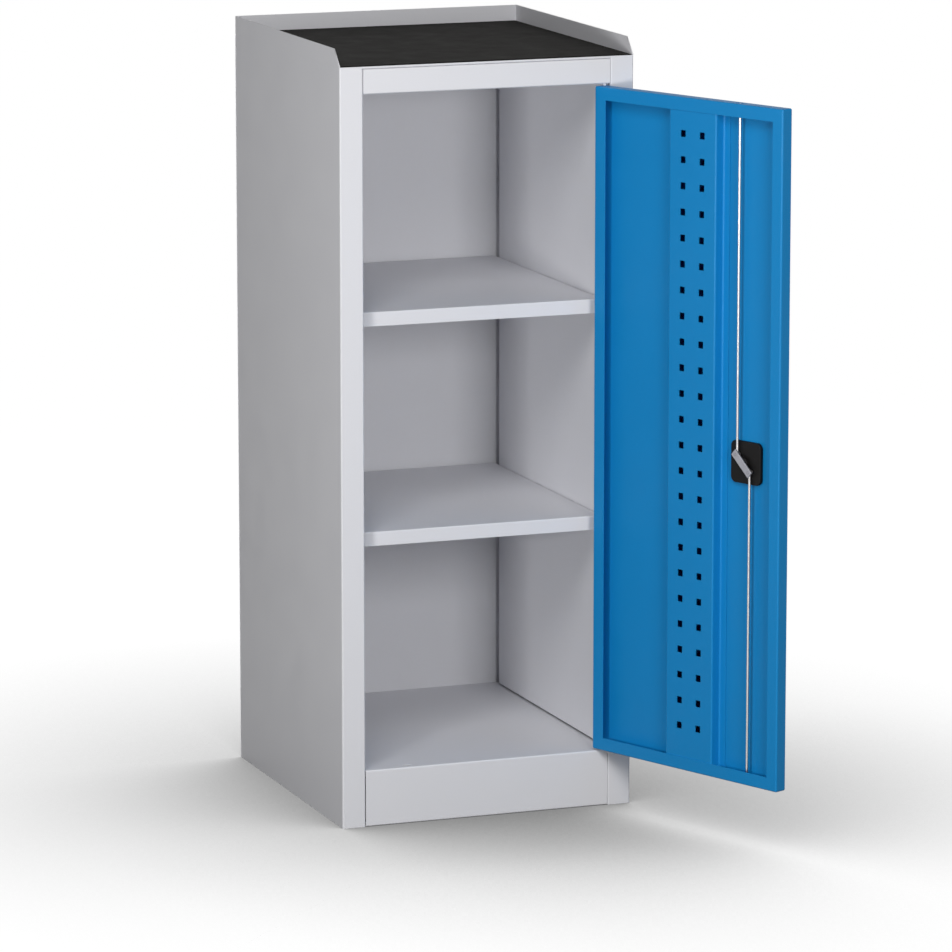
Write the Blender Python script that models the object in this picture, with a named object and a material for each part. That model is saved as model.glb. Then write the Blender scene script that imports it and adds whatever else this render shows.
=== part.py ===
"""Workshop cabinet of folded sheet steel, with a top tray, two shelves and a tool door that stands open.

Metres, +Z up. The cabinet faces -Y. The origin lies on the floor and on the centre plane, at the middle
of the plinth's foot. The carcass is drawn from its front plane, and the door from its hinge axis.
"""

import math

import bmesh
import bpy
from mathutils import Vector

# Overall size
WIDTH = 0.455
DEPTH = 0.480
HEIGHT = 1.150

# Sheet metal: wall, outer bend radius, and the gap left between pieces that touch
SHEET = 0.001
BEND = 0.0025
BEND_STEPS = 3
SEAT = 0.0003
SEAM = 0.0004

# Front frame and base
STILE_WIDTH = 0.036
RAIL_HEIGHT = 0.0366
RAIL_TOP_FLANGE = 0.030
PLINTH_HEIGHT = 0.085
FOOT_DEPTH = 0.025
JAMB_MARGIN = 0.002
REAR_RETURN = 0.015
WELD_FLANGE = 0.015
BASE_RAIL_FLANGE = 0.020
LINER_REAR_GAP = 0.0195
LINER_FLOOR_GAP = 0.003
FLOOR_LAP = 0.010

# Top tray and mat
UPSTAND_HEIGHT = 0.0285
UPSTAND_SLOPE = 0.024
TRAY_SHEET = 0.0015
TRAY_BEND = 0.0016
TRAY_LIP = 0.0034
MAT_THICKNESS = 0.003
MAT_MARGIN = 0.0015

# Shelves and the pegs that carry them
UPPER_SHELF_TOP = 0.763
LOWER_SHELF_TOP = 0.437
SHELF_FOLD = 0.021
SHELF_BEND = 0.002
SHELF_SIDE_GAP = 0.001
SHELF_FRONT_GAP = 0.005
SHELF_BACK_GAP = 0.003
SHELF_CORNER = 0.009
PEG_RADIUS = 0.004
PEG_SHANK_RADIUS = 0.0026
PEG_HEAD_RADIUS = 0.0055
PEG_HEAD = 0.0015
PEG_PLAY = 0.0005
PEG_DROP = 0.012
PEG_FROM_END = 0.060

# Door and its hinge
DOOR_THICKNESS = 0.020
DOOR_SIDE_GAP = 0.0025
DOOR_END_GAP = 0.003
DOOR_LIP = 0.0195
HINGE_LIP = 0.022
DOOR_REST_ANGLE = math.radians(113.0)
PIVOT_INSET = 0.005
PIVOT_DEPTH = 0.00475
PIN_RADIUS = 0.0025
PIN_TAIL = 0.002
HINGE_BLOCK_SIDE = 0.015
HINGE_BLOCK_HEIGHT = 0.012
WASHER_RADIUS = 0.0045

# Perforated tool channel on the door's inner side, beside the lock
CHANNEL_TO_LOCK = 0.0115
CHANNEL_FACE = 0.094
CHANNEL_FLANGE = 0.012
HOLE_SIDE = 0.010
HOLE_PITCH = 0.038
HOLE_FIRST_ROW = 0.053
HOLE_LAST_ROW_LEAST = 0.050

# Rod lock
LOCK_FROM_FREE_EDGE = 0.079
LOCK_FROM_BOTTOM = 0.473
HOUSING_WIDTH = 0.059
HOUSING_HEIGHT = 0.062
HOUSING_DEPTH = 0.006
HOUSING_CORNER = 0.009
HOUSING_EDGE = 0.0012
COLLAR_RADIUS = 0.0085
LEVER_ARM = 0.017
LEVER_LENGTH = 0.045
LEVER_WIDTH = 0.0115
LEVER_THICKNESS = 0.0024
LEVER_REST_ANGLE = math.radians(47.0)
ROD_RADIUS = 0.002
ROD_EYE_RADIUS = 0.0038
ROD_SLOT_PLAY = 0.0005
ROD_TIP_TAPER = 0.004
ROD_GUIDE_PLAY = 0.0046
ROD_LIFT_OFF_HOUSING = 0.0022
ROD_PIN_RADIUS = 0.0018
ROD_PIN_HEAD_RADIUS = 0.0032
ROD_PIN_HEAD = 0.001
SPINDLE_SIDE = 0.008
SPINDLE_SOCKET = 0.008

# Outside knob with its key cylinder
ROSETTE_RADIUS = 0.030
ROSETTE_DEPTH = 0.005
ROSETTE_EDGE = 0.0015
KNOB_LENGTH = 0.054
KNOB_WIDTH = 0.022
KNOB_DEPTH = 0.022
KNOB_EDGE = 0.003
PLUG_RADIUS = 0.0065
PLUG_DEPTH = 0.009
PLUG_PROUD = 0.0005
KEY_SLOT_WIDTH = 0.0014
KEY_SLOT_LENGTH = 0.008
KEY_SLOT_DEPTH = 0.005

# Facets
ROUND_STEPS = 24
CORNER_STEPS = 5
BEVEL_STEPS = 2
BEVEL_ANGLE = math.radians(40.0)
CUT_EXTRA = 0.002

# Levels and planes that follow from the sizes above
TRAY_BOTTOM = HEIGHT - UPSTAND_HEIGHT
CARCASS_TOP = TRAY_BOTTOM - SEAT
RAIL_BOTTOM = CARCASS_TOP - RAIL_HEIGHT
JAMB_DEPTH = DOOR_THICKNESS + JAMB_MARGIN
OPENING_HALF = WIDTH / 2 - STILE_WIDTH
BACK_INNER = DEPTH - SHEET
SIDE_REAR = BACK_INNER - SEAT
WALL_INNER = WIDTH / 2 - SHEET - SEAT

SHELF_HALF = OPENING_HALF - SHELF_SIDE_GAP
SHELF_FRONT = DOOR_THICKNESS + SHELF_FRONT_GAP
SHELF_BACK = SIDE_REAR - SHEET - SHELF_BACK_GAP
SHELF_TOPS = {"upper": UPPER_SHELF_TOP, "lower": LOWER_SHELF_TOP}
PEG_DEPTHS = {"front": SHELF_FRONT + PEG_FROM_END, "rear": SHELF_BACK - PEG_FROM_END}
SIDES = {"left": -1, "right": 1}

DOOR_WIDTH = 2 * (OPENING_HALF - DOOR_SIDE_GAP)
DOOR_BOTTOM = PLINTH_HEIGHT + DOOR_END_GAP
DOOR_TOP = RAIL_BOTTOM - DOOR_END_GAP
PIVOT_X = OPENING_HALF - DOOR_SIDE_GAP - PIVOT_INSET

DOOR_FREE_EDGE = PIVOT_INSET - DOOR_WIDTH
LOCK_X = DOOR_FREE_EDGE + LOCK_FROM_FREE_EDGE
LOCK_Z = DOOR_BOTTOM + LOCK_FROM_BOTTOM
CHANNEL_X = LOCK_X + HOUSING_WIDTH / 2 + CHANNEL_TO_LOCK + CHANNEL_FLANGE + CHANNEL_FACE / 2
HOUSING_BACK = SHEET + SEAT
HOUSING_FACE = HOUSING_BACK + HOUSING_DEPTH
ROD_DEPTH = HOUSING_FACE + ROD_LIFT_OFF_HOUSING + ROD_RADIUS
LEVER_BACK = ROD_DEPTH + ROD_RADIUS + SEAT
LEVER_FACE = LEVER_BACK + LEVER_THICKNESS
ROSETTE_FACE = -SEAT - ROSETTE_DEPTH
KNOB_BACK = ROSETTE_FACE - SEAT
KNOB_FACE = KNOB_BACK - KNOB_DEPTH
SPINDLE_BORE = SPINDLE_SIDE / math.sqrt(2) + SEAT
ROD_OFFSET = LEVER_ARM * math.sin(LEVER_REST_ANGLE)
PIN_RISE = LEVER_ARM * math.cos(LEVER_REST_ANGLE)

# Finishes: sRGB colour, roughness, metallic
FINISHES = {
    "light_grey_powder_coat": ("#CDCED2", 0.45, 0.0),
    "blue_powder_coat": ("#1F7CC0", 0.42, 0.0),
    "black_rubber": ("#232220", 0.85, 0.0),
    "black_plastic": ("#1A1819", 0.40, 0.0),
    "zinc_plated_steel": ("#C9C8C8", 0.35, 1.0),
    "nickel_plated_brass": ("#BDB9AE", 0.25, 1.0),
    "white_polyamide": ("#E4E1D8", 0.50, 0.0),
}


def clear_scene():
    """Remove every object of the scene."""
    for thing in list(bpy.data.objects):
        bpy.data.objects.remove(thing, do_unlink=True)


def linear(channel):
    """Linear value of one sRGB channel between 0 and 1."""
    if channel <= 0.04045:
        return channel / 12.92
    return ((channel + 0.055) / 1.055) ** 2.4


def finish(name):
    """The material of a finish, made the first time that it is asked for."""
    if name in bpy.data.materials:
        return bpy.data.materials[name]
    colour, roughness, metallic = FINISHES[name]
    channels = [linear(int(colour[i:i + 2], 16) / 255) for i in (1, 3, 5)]
    material = bpy.data.materials.new(name)
    material.use_nodes = True
    shader = material.node_tree.nodes["Principled BSDF"]
    shader.inputs["Base Color"].default_value = (*channels, 1.0)
    shader.inputs["Roughness"].default_value = roughness
    shader.inputs["Metallic"].default_value = metallic
    return material


def add_empty(name, parent=None, location=(0, 0, 0), rotation=(0, 0, 0)):
    """An empty that carries pieces at a joint axis or a datum plane."""
    empty = bpy.data.objects.new(name, None)
    bpy.context.scene.collection.objects.link(empty)
    empty.parent = parent
    empty.location = location
    empty.rotation_euler = rotation
    return empty


def add_object(name, shape, parent, finish_name=None):
    """An object from a bmesh. Without a finish it is a cutter."""
    mesh = bpy.data.meshes.new(name)
    shape.to_mesh(mesh)
    shape.free()
    mesh.shade_smooth()
    mesh.set_sharp_from_angle(angle=BEVEL_ANGLE)
    thing = bpy.data.objects.new(name, mesh)
    bpy.context.scene.collection.objects.link(thing)
    thing.parent = parent
    if finish_name:
        mesh.materials.append(finish(finish_name))
    else:
        thing.hide_render = True
        thing.display_type = "WIRE"
    return thing


def fold(thing, thickness=SHEET, radius=BEND):
    """Round the folds of an outer surface, then give it a wall on its inner side."""
    bend = thing.modifiers.new("Bends", "BEVEL")
    bend.width = radius
    bend.segments = BEND_STEPS
    bend.limit_method = "ANGLE"
    bend.angle_limit = BEVEL_ANGLE
    wall = thing.modifiers.new("Wall", "SOLIDIFY")
    wall.thickness = thickness
    wall.offset = -1.0
    wall.use_even_offset = True
    return thing


def soften(thing, width):
    """Round the sharp edges of a solid."""
    edge = thing.modifiers.new("Edges", "BEVEL")
    edge.width = width
    edge.segments = BEVEL_STEPS
    edge.limit_method = "ANGLE"
    edge.angle_limit = BEVEL_ANGLE
    return thing


def combine(thing, other, operation="DIFFERENCE"):
    """Cut another object out of this one, or join it on."""
    boolean = thing.modifiers.new(other.name, "BOOLEAN")
    boolean.operation = operation
    boolean.solver = "EXACT"
    boolean.object = other
    return thing


def surface(points, faces):
    """A bmesh from points and faces."""
    shape = bmesh.new()
    corners = [shape.verts.new(point) for point in points]
    for face in faces:
        shape.faces.new([corners[i] for i in face])
    return shape


def strip(path, axis, start, end):
    """The outer surface of a folded sheet: a path drawn in a plane, with its wall on the left, swept along an axis."""
    order = {"X": lambda u, v, w: (w, u, v), "Y": lambda u, v, w: (v, w, u), "Z": lambda u, v, w: (u, v, w)}[axis]
    count = len(path)
    points = [order(u, v, w) for w in (start, end) for u, v in path]
    faces = [(i, i + 1, count + i + 1, count + i) for i in range(count - 1)]
    return surface(points, faces)


def block(low, high, shape=None):
    """A box between two corners, alone or added to a bmesh."""
    shape = shape or bmesh.new()
    corners = bmesh.ops.create_cube(shape, size=1.0)["verts"]
    size = Vector(high) - Vector(low)
    bmesh.ops.scale(shape, vec=size, verts=corners)
    bmesh.ops.translate(shape, vec=(Vector(low) + Vector(high)) / 2, verts=corners)
    return shape


def prism(outline, start, end):
    """An outline in X and Z extruded along Y."""
    shape = bmesh.new()
    near = shape.faces.new([shape.verts.new((x, start, z)) for x, z in outline])
    moved = bmesh.ops.extrude_face_region(shape, geom=[near], use_keep_orig=True)["geom"]
    corners = [item for item in moved if isinstance(item, bmesh.types.BMVert)]
    bmesh.ops.translate(shape, vec=(0, end - start, 0), verts=corners)
    bmesh.ops.recalc_face_normals(shape, faces=shape.faces)
    return shape


def turned(profile, axis, centre=(0, 0, 0)):
    """A profile of radius and height spun round an axis. A profile off the axis closes into a ring."""
    shape = bmesh.new()
    corners = [shape.verts.new((radius, 0, height)) for radius, height in profile]
    pairs = list(zip(corners, corners[1:]))
    if profile[0][0] > 0:
        pairs.append((corners[-1], corners[0]))
    edges = [shape.edges.new(pair) for pair in pairs]
    bmesh.ops.spin(shape, geom=corners + edges, axis=(0, 0, 1), cent=(0, 0, 0),
                   angle=2 * math.pi, steps=ROUND_STEPS, use_merge=True)
    bmesh.ops.remove_doubles(shape, verts=shape.verts, dist=1e-6)
    bmesh.ops.recalc_face_normals(shape, faces=shape.faces)
    turn = Vector((0, 0, 1)).rotation_difference(Vector(axis)).to_matrix()
    bmesh.ops.rotate(shape, matrix=turn, cent=(0, 0, 0), verts=shape.verts)
    bmesh.ops.translate(shape, vec=centre, verts=shape.verts)
    return shape


def cylinder(radius, start, end, axis, centre=(0, 0, 0)):
    """A plain cylinder from one height to another along an axis."""
    return turned([(0, start), (radius, start), (radius, end), (0, end)], axis, centre)


def rounded_outline(half_width, half_height, radius):
    """A rectangle with round corners, as points run counter-clockwise."""
    points = []
    corners = ((1, -1), (1, 1), (-1, 1), (-1, -1))
    for quarter, (side, level) in enumerate(corners):
        for step in range(CORNER_STEPS + 1):
            angle = math.radians(90) * (quarter - 1 + step / CORNER_STEPS)
            across = side * (half_width - radius) + radius * math.cos(angle)
            along = level * (half_height - radius) + radius * math.sin(angle)
            points.append((across, along))
    return points


def build_side(name, side, root):
    """Side panel folded round to the stile and its jamb in front, and to a return behind."""
    outer = side * WIDTH / 2
    path = [
        (outer - side * REAR_RETURN, SIDE_REAR),
        (outer, SIDE_REAR),
        (outer, 0),
        (side * OPENING_HALF, 0),
        (side * OPENING_HALF, JAMB_DEPTH),
    ]
    if side > 0:
        path.reverse()
    fold(add_object(f"{name}_side_panel", strip(path, "Z", 0, CARCASS_TOP), root, "light_grey_powder_coat"))


def build_liner(name, side, root):
    """Inner wall, level with the stile's edge, that ends just above the floor, with holes for the shelf pegs."""
    front = JAMB_DEPTH + SEAT
    rear = DEPTH - LINER_REAR_GAP
    low = PLINTH_HEIGHT + LINER_FLOOR_GAP
    top = CARCASS_TOP - WELD_FLANGE - SEAT
    path = [
        (side * WALL_INNER, front),
        (side * OPENING_HALF, front),
        (side * OPENING_HALF, rear),
        (side * WALL_INNER, rear),
    ]
    if side > 0:
        path.reverse()
    liner = add_object(f"{name}_inner_panel", strip(path, "Z", low, top), root, "light_grey_powder_coat")
    fold(liner)
    for level, shelf_top in SHELF_TOPS.items():
        for end, depth in PEG_DEPTHS.items():
            hole = cylinder(PEG_SHANK_RADIUS + SEAT, -SHEET - CUT_EXTRA, CUT_EXTRA, (-side, 0, 0),
                            (side * OPENING_HALF, depth, shelf_top - PEG_DROP))
            combine(liner, add_object(f"cut_{name}_{level}_{end}_peg", hole, root))


def build_frame(root):
    """Top rail and plinth between the stiles, and the roof, back and base rail behind them."""
    grey = "light_grey_powder_coat"
    span = OPENING_HALF - SEAM
    rail = [(RAIL_TOP_FLANGE, CARCASS_TOP), (0, CARCASS_TOP), (0, RAIL_BOTTOM), (JAMB_DEPTH, RAIL_BOTTOM)]
    top_rail = fold(add_object("top_rail", strip(rail, "X", -span, span), root, grey))
    foot = [
        (JAMB_DEPTH, PLINTH_HEIGHT - WELD_FLANGE),
        (JAMB_DEPTH, PLINTH_HEIGHT),
        (0, PLINTH_HEIGHT),
        (0, 0),
        (FOOT_DEPTH, 0),
    ]
    plinth = fold(add_object("plinth", strip(foot, "X", -span, span), root, grey))
    roof = [
        (CARCASS_TOP - WELD_FLANGE, -WALL_INNER),
        (CARCASS_TOP, -WALL_INNER),
        (CARCASS_TOP, WALL_INNER),
        (CARCASS_TOP - WELD_FLANGE, WALL_INNER),
    ]
    roof_rear = SIDE_REAR - BEND - SEAT
    fold(add_object("roof_panel", strip(roof, "Y", RAIL_TOP_FLANGE + SEAT, roof_rear), root, grey))
    back = block((-WIDTH / 2, BACK_INNER, 0), (WIDTH / 2, DEPTH, CARCASS_TOP))
    add_object("back_panel", back, root, grey)
    base_half = OPENING_HALF + FLOOR_LAP - BEND - SEAT
    base_top = PLINTH_HEIGHT - SHEET - SEAT
    base = [
        (SIDE_REAR - FOOT_DEPTH, 0),
        (SIDE_REAR, 0),
        (SIDE_REAR, base_top),
        (SIDE_REAR - BASE_RAIL_FLANGE, base_top),
    ]
    fold(add_object("rear_base_rail", strip(base, "X", -base_half, base_half), root, grey))
    return top_rail, plinth


def build_floor(root):
    """Floor plate that reaches under the inner walls, folded down in front and at both sides, open behind."""
    half = OPENING_HALF + FLOOR_LAP
    front = JAMB_DEPTH + SEAT
    low = PLINTH_HEIGHT - WELD_FLANGE
    points = [(x, y, z) for z in (PLINTH_HEIGHT, low)
              for x, y in ((-half, front), (half, front), (half, SIDE_REAR), (-half, SIDE_REAR))]
    faces = [(0, 1, 2, 3), (0, 4, 5, 1), (1, 5, 6, 2), (3, 7, 4, 0)]
    fold(add_object("floor_panel", surface(points, faces), root, "light_grey_powder_coat"))


def build_tray(root):
    """Top tray with a low lip in front and upstands that slope down to it, and the mat that lies in it."""
    half = WIDTH / 2
    lip = TRAY_BOTTOM + TRAY_LIP
    points = [
        (-half, 0, TRAY_BOTTOM), (half, 0, TRAY_BOTTOM), (half, DEPTH, TRAY_BOTTOM), (-half, DEPTH, TRAY_BOTTOM),
        (-half, 0, lip), (half, 0, lip), (half, DEPTH, HEIGHT), (-half, DEPTH, HEIGHT),
        (-half, UPSTAND_SLOPE, HEIGHT), (half, UPSTAND_SLOPE, HEIGHT),
    ]
    faces = [(3, 2, 1, 0), (0, 1, 5, 4), (1, 2, 6, 9, 5), (2, 3, 7, 6), (3, 0, 4, 8, 7)]
    tray = add_object("top_tray", surface(points, faces), root, "light_grey_powder_coat")
    fold(tray, TRAY_SHEET, TRAY_BEND)
    edge = TRAY_SHEET + MAT_MARGIN
    seat = TRAY_BOTTOM + TRAY_SHEET + SEAT
    mat = block((-half + edge, edge, seat), (half - edge, DEPTH - edge, seat + MAT_THICKNESS))
    add_object("rubber_mat", mat, root, "black_rubber")


def build_shelf(level, top, root):
    """Shelf folded down all round, with round corners and a notch over each of its four pegs."""
    middle = (SHELF_FRONT + SHELF_BACK) / 2
    outline = rounded_outline(SHELF_HALF, (SHELF_BACK - SHELF_FRONT) / 2, SHELF_CORNER)
    count = len(outline)
    points = [(x, middle + y, z) for z in (top, top - SHELF_FOLD) for x, y in outline]
    faces = [tuple(range(count))]
    for i in range(count):
        following = (i + 1) % count
        faces.append((i, count + i, count + following, following))
    shelf = add_object(f"{level}_shelf", surface(points, faces), root, "light_grey_powder_coat")
    fold(shelf, SHEET, SHELF_BEND)
    notch_half = PEG_RADIUS + PEG_PLAY
    for name, side in SIDES.items():
        for end, depth in PEG_DEPTHS.items():
            edge = side * SHELF_HALF
            low = (edge - SHEET - CUT_EXTRA, depth - notch_half, top - SHELF_FOLD - CUT_EXTRA)
            high = (edge + SHEET + CUT_EXTRA, depth + notch_half, top - PEG_DROP + PEG_RADIUS + SEAT)
            combine(shelf, add_object(f"cut_{level}_{name}_{end}_notch", block(low, high), root))
            build_peg(f"{level}_{end}_{name}_shelf_peg", side, depth, top - PEG_DROP, root)


def build_peg(name, side, depth, level, root):
    """Peg riveted in the inner panel, with a head that keeps the shelf from sliding off."""
    tail = -SHEET - SEAT
    neck = SHELF_SIDE_GAP + SHEET + PEG_PLAY
    profile = [
        (0, tail - PEG_HEAD), (PEG_RADIUS, tail - PEG_HEAD), (PEG_RADIUS, tail),
        (PEG_SHANK_RADIUS, tail), (PEG_SHANK_RADIUS, SEAT), (PEG_RADIUS, SEAT), (PEG_RADIUS, neck),
        (PEG_HEAD_RADIUS, neck), (PEG_HEAD_RADIUS, neck + PEG_HEAD), (0, neck + PEG_HEAD),
    ]
    peg = turned(profile, (-side, 0, 0), (side * OPENING_HALF, depth, level))
    add_object(name, peg, root, "zinc_plated_steel")


def build_hinge(root, door, top_rail, plinth, shell):
    """Pins welded in the rail and the plinth, the blocks in the door that turn on them, and the thrust washer."""
    steel = "zinc_plated_steel"
    here = (PIVOT_X, PIVOT_DEPTH, 0)
    wall = SHEET + SEAT
    reach = DOOR_END_GAP + wall + HINGE_BLOCK_HEIGHT
    for name, edge, way, frame in (("upper", DOOR_TOP, 1, top_rail), ("lower", DOOR_BOTTOM, -1, plinth)):
        flange = edge + way * DOOR_END_GAP
        pin = cylinder(PIN_RADIUS, -reach, SHEET + PIN_TAIL, (0, 0, way), (here[0], here[1], flange))
        add_object(f"{name}_hinge_pin", pin, root, "light_grey_powder_coat")
        hole = cylinder(PIN_RADIUS + SEAT, -reach - CUT_EXTRA, SHEET + PIN_TAIL + CUT_EXTRA, (0, 0, way),
                        (here[0], here[1], flange))
        hole = add_object(f"cut_{name}_hinge_pin", hole, root)
        combine(frame, hole)
        combine(shell, hole)
        far = PIVOT_INSET - wall
        near = wall - PIVOT_DEPTH
        level = sorted((edge - way * wall, edge - way * (wall + HINGE_BLOCK_HEIGHT)))
        body = block((far - HINGE_BLOCK_SIDE, near, level[0]), (far, near + HINGE_BLOCK_SIDE, level[1]))
        body = add_object(f"{name}_hinge_block", body, door, steel)
        combine(soften(body, BEND - SHEET + SEAT), hole)
    bore = PIN_RADIUS + SEAT
    low = PLINTH_HEIGHT + SEAT
    high = DOOR_BOTTOM - SEAT
    ring = turned([(bore, low), (WASHER_RADIUS, low), (WASHER_RADIUS, high), (bore, high)], (0, 0, 1), here)
    add_object("hinge_washer", ring, root, "white_polyamide")


def build_door_shell(door):
    """Door folded as a shallow tray: skin, four edges and four lips round the open inner side."""
    hinge = PIVOT_INSET
    free = DOOR_FREE_EDGE
    outer = -PIVOT_DEPTH
    inner = DOOR_THICKNESS - PIVOT_DEPTH
    corners = ((free, DOOR_BOTTOM), (hinge, DOOR_BOTTOM), (hinge, DOOR_TOP), (free, DOOR_TOP))
    lips = ((DOOR_LIP, DOOR_LIP), (-HINGE_LIP, DOOR_LIP), (-HINGE_LIP, -DOOR_LIP), (DOOR_LIP, -DOOR_LIP))
    points = [(x, outer, z) for x, z in corners] + [(x, inner, z) for x, z in corners]
    points += [(x + right, inner, z + up) for (x, z), (right, up) in zip(corners, lips)]
    faces = [(0, 1, 2, 3)]
    for i in range(4):
        following = (i + 1) % 4
        faces.append((following, i, 4 + i, 4 + following))
        faces.append((4 + following, 4 + i, 8 + i, 8 + following))
    return fold(add_object("door_shell", surface(points, faces), door, "blue_powder_coat"))


def build_channel(door):
    """Hat channel behind the lips, with two columns of square holes for tool hooks."""
    base = SHEET + SEAT - PIVOT_DEPTH
    face = DOOR_THICKNESS - SHEET - SEAT - PIVOT_DEPTH
    half = CHANNEL_FACE / 2
    path = [
        (CHANNEL_X + half + CHANNEL_FLANGE, base + SHEET),
        (CHANNEL_X + half, base + SHEET),
        (CHANNEL_X + half, face),
        (CHANNEL_X - half, face),
        (CHANNEL_X - half, base + SHEET),
        (CHANNEL_X - half - CHANNEL_FLANGE, base + SHEET),
    ]
    low = DOOR_BOTTOM + BEND + SEAT
    high = DOOR_TOP - BEND - SEAT
    channel = fold(add_object("tool_channel", strip(path, "Z", low, high), door, "blue_powder_coat"))
    rows = 1 + int((DOOR_TOP - DOOR_BOTTOM - HOLE_FIRST_ROW - HOLE_LAST_ROW_LEAST) / HOLE_PITCH)
    holes = bmesh.new()
    for row in range(rows):
        level = DOOR_TOP - HOLE_FIRST_ROW - row * HOLE_PITCH
        for column in (-0.5, 0.5):
            middle = Vector((CHANNEL_X + column * HOLE_PITCH, face, level))
            reach = Vector((HOLE_SIDE / 2, SHEET + CUT_EXTRA, HOLE_SIDE / 2))
            block(middle - reach, middle + reach, holes)
    combine(channel, add_object("cut_channel_holes", holes, door))


def rod_slot(centre_x, depth, level):
    """Cutter for the slot that a lock rod slides and leans in."""
    half = ROD_RADIUS + ROD_GUIDE_PLAY
    width = ROD_RADIUS + ROD_SLOT_PLAY
    tall = SHEET + CUT_EXTRA
    return block((centre_x - half, depth - width, level - tall), (centre_x + half, depth + width, level + tall))


def build_lock_case(door, shell):
    """Housing with a collar on the inner side and rosette outside, bored with the skin for the spindle."""
    axis = add_empty("lock_place", door, (LOCK_X, -PIVOT_DEPTH, LOCK_Z))
    outline = rounded_outline(HOUSING_WIDTH / 2, HOUSING_HEIGHT / 2, HOUSING_CORNER)
    housing = add_object("lock_housing", prism(outline, HOUSING_BACK, HOUSING_FACE), axis, "black_plastic")
    soften(housing, HOUSING_EDGE)
    collar = cylinder(COLLAR_RADIUS, HOUSING_FACE - CUT_EXTRA, LEVER_BACK - SEAT, (0, 1, 0))
    combine(housing, add_object("join_housing_collar", collar, axis), "UNION")
    disc = cylinder(ROSETTE_RADIUS, ROSETTE_FACE, -SEAT, (0, 1, 0))
    rosette = soften(add_object("handle_rosette", disc, axis, "black_plastic"), ROSETTE_EDGE)
    bore = cylinder(SPINDLE_BORE, ROSETTE_FACE - CUT_EXTRA, LEVER_BACK + CUT_EXTRA, (0, 1, 0))
    bore = add_object("cut_spindle_bore", bore, axis)
    for piece in (housing, rosette, shell):
        combine(piece, bore)
    return axis


def build_knob(turn):
    """Outside knob with a socket for the spindle, and the key cylinder's plug in its face."""
    end = KNOB_WIDTH / 2
    knob = prism(rounded_outline(end, KNOB_LENGTH / 2, end - SEAT), KNOB_BACK, KNOB_FACE)
    knob = soften(add_object("turn_knob", knob, turn, "black_plastic"), KNOB_EDGE)
    half = SPINDLE_SIDE / 2 + SEAT
    socket = block((-half, KNOB_BACK - SPINDLE_SOCKET - SEAT, -half), (half, KNOB_BACK + CUT_EXTRA, half))
    combine(knob, add_object("cut_knob_socket", socket, turn))
    floor = KNOB_FACE + PLUG_DEPTH
    bore = cylinder(PLUG_RADIUS + SEAT, KNOB_FACE - CUT_EXTRA, floor + SEAT, (0, 1, 0))
    combine(knob, add_object("cut_plug_bore", bore, turn))
    plug_face = KNOB_FACE - PLUG_PROUD
    plug = cylinder(PLUG_RADIUS, plug_face, floor, (0, 1, 0))
    plug = add_object("lock_plug", plug, turn, "nickel_plated_brass")
    slot = block((-KEY_SLOT_WIDTH / 2, plug_face - CUT_EXTRA, -KEY_SLOT_LENGTH / 2),
                 (KEY_SLOT_WIDTH / 2, plug_face + KEY_SLOT_DEPTH, KEY_SLOT_LENGTH / 2))
    combine(plug, add_object("cut_key_slot", slot, turn))


def build_lever(turn):
    """Lever on the inner end of the spindle, and the pin at each of its ends that a rod hangs on."""
    steel = "zinc_plated_steel"
    half = SPINDLE_SIDE / 2
    spindle = block((-half, KNOB_BACK - SPINDLE_SOCKET, -half), (half, LEVER_BACK - SEAT, half))
    add_object("lock_spindle", spindle, turn, steel)
    lever = block((-LEVER_WIDTH / 2, LEVER_BACK, -LEVER_LENGTH / 2), (LEVER_WIDTH / 2, LEVER_FACE, LEVER_LENGTH / 2))
    lever = add_object("lock_lever", lever, turn, steel)
    eye_back = ROD_DEPTH - ROD_RADIUS - SEAT
    profile = [
        (0, eye_back - ROD_PIN_HEAD), (ROD_PIN_HEAD_RADIUS, eye_back - ROD_PIN_HEAD),
        (ROD_PIN_HEAD_RADIUS, eye_back), (ROD_PIN_RADIUS, eye_back), (ROD_PIN_RADIUS, LEVER_FACE), (0, LEVER_FACE),
    ]
    for name, way in (("upper", 1), ("lower", -1)):
        place = (0, 0, way * LEVER_ARM)
        hole = cylinder(ROD_PIN_RADIUS + SEAT, LEVER_BACK - CUT_EXTRA, LEVER_FACE + CUT_EXTRA, (0, 1, 0), place)
        combine(lever, add_object(f"cut_{name}_lever_hole", hole, turn))
        add_object(f"{name}_rod_pin", turned(profile, (0, 1, 0), place), turn, steel)


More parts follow.
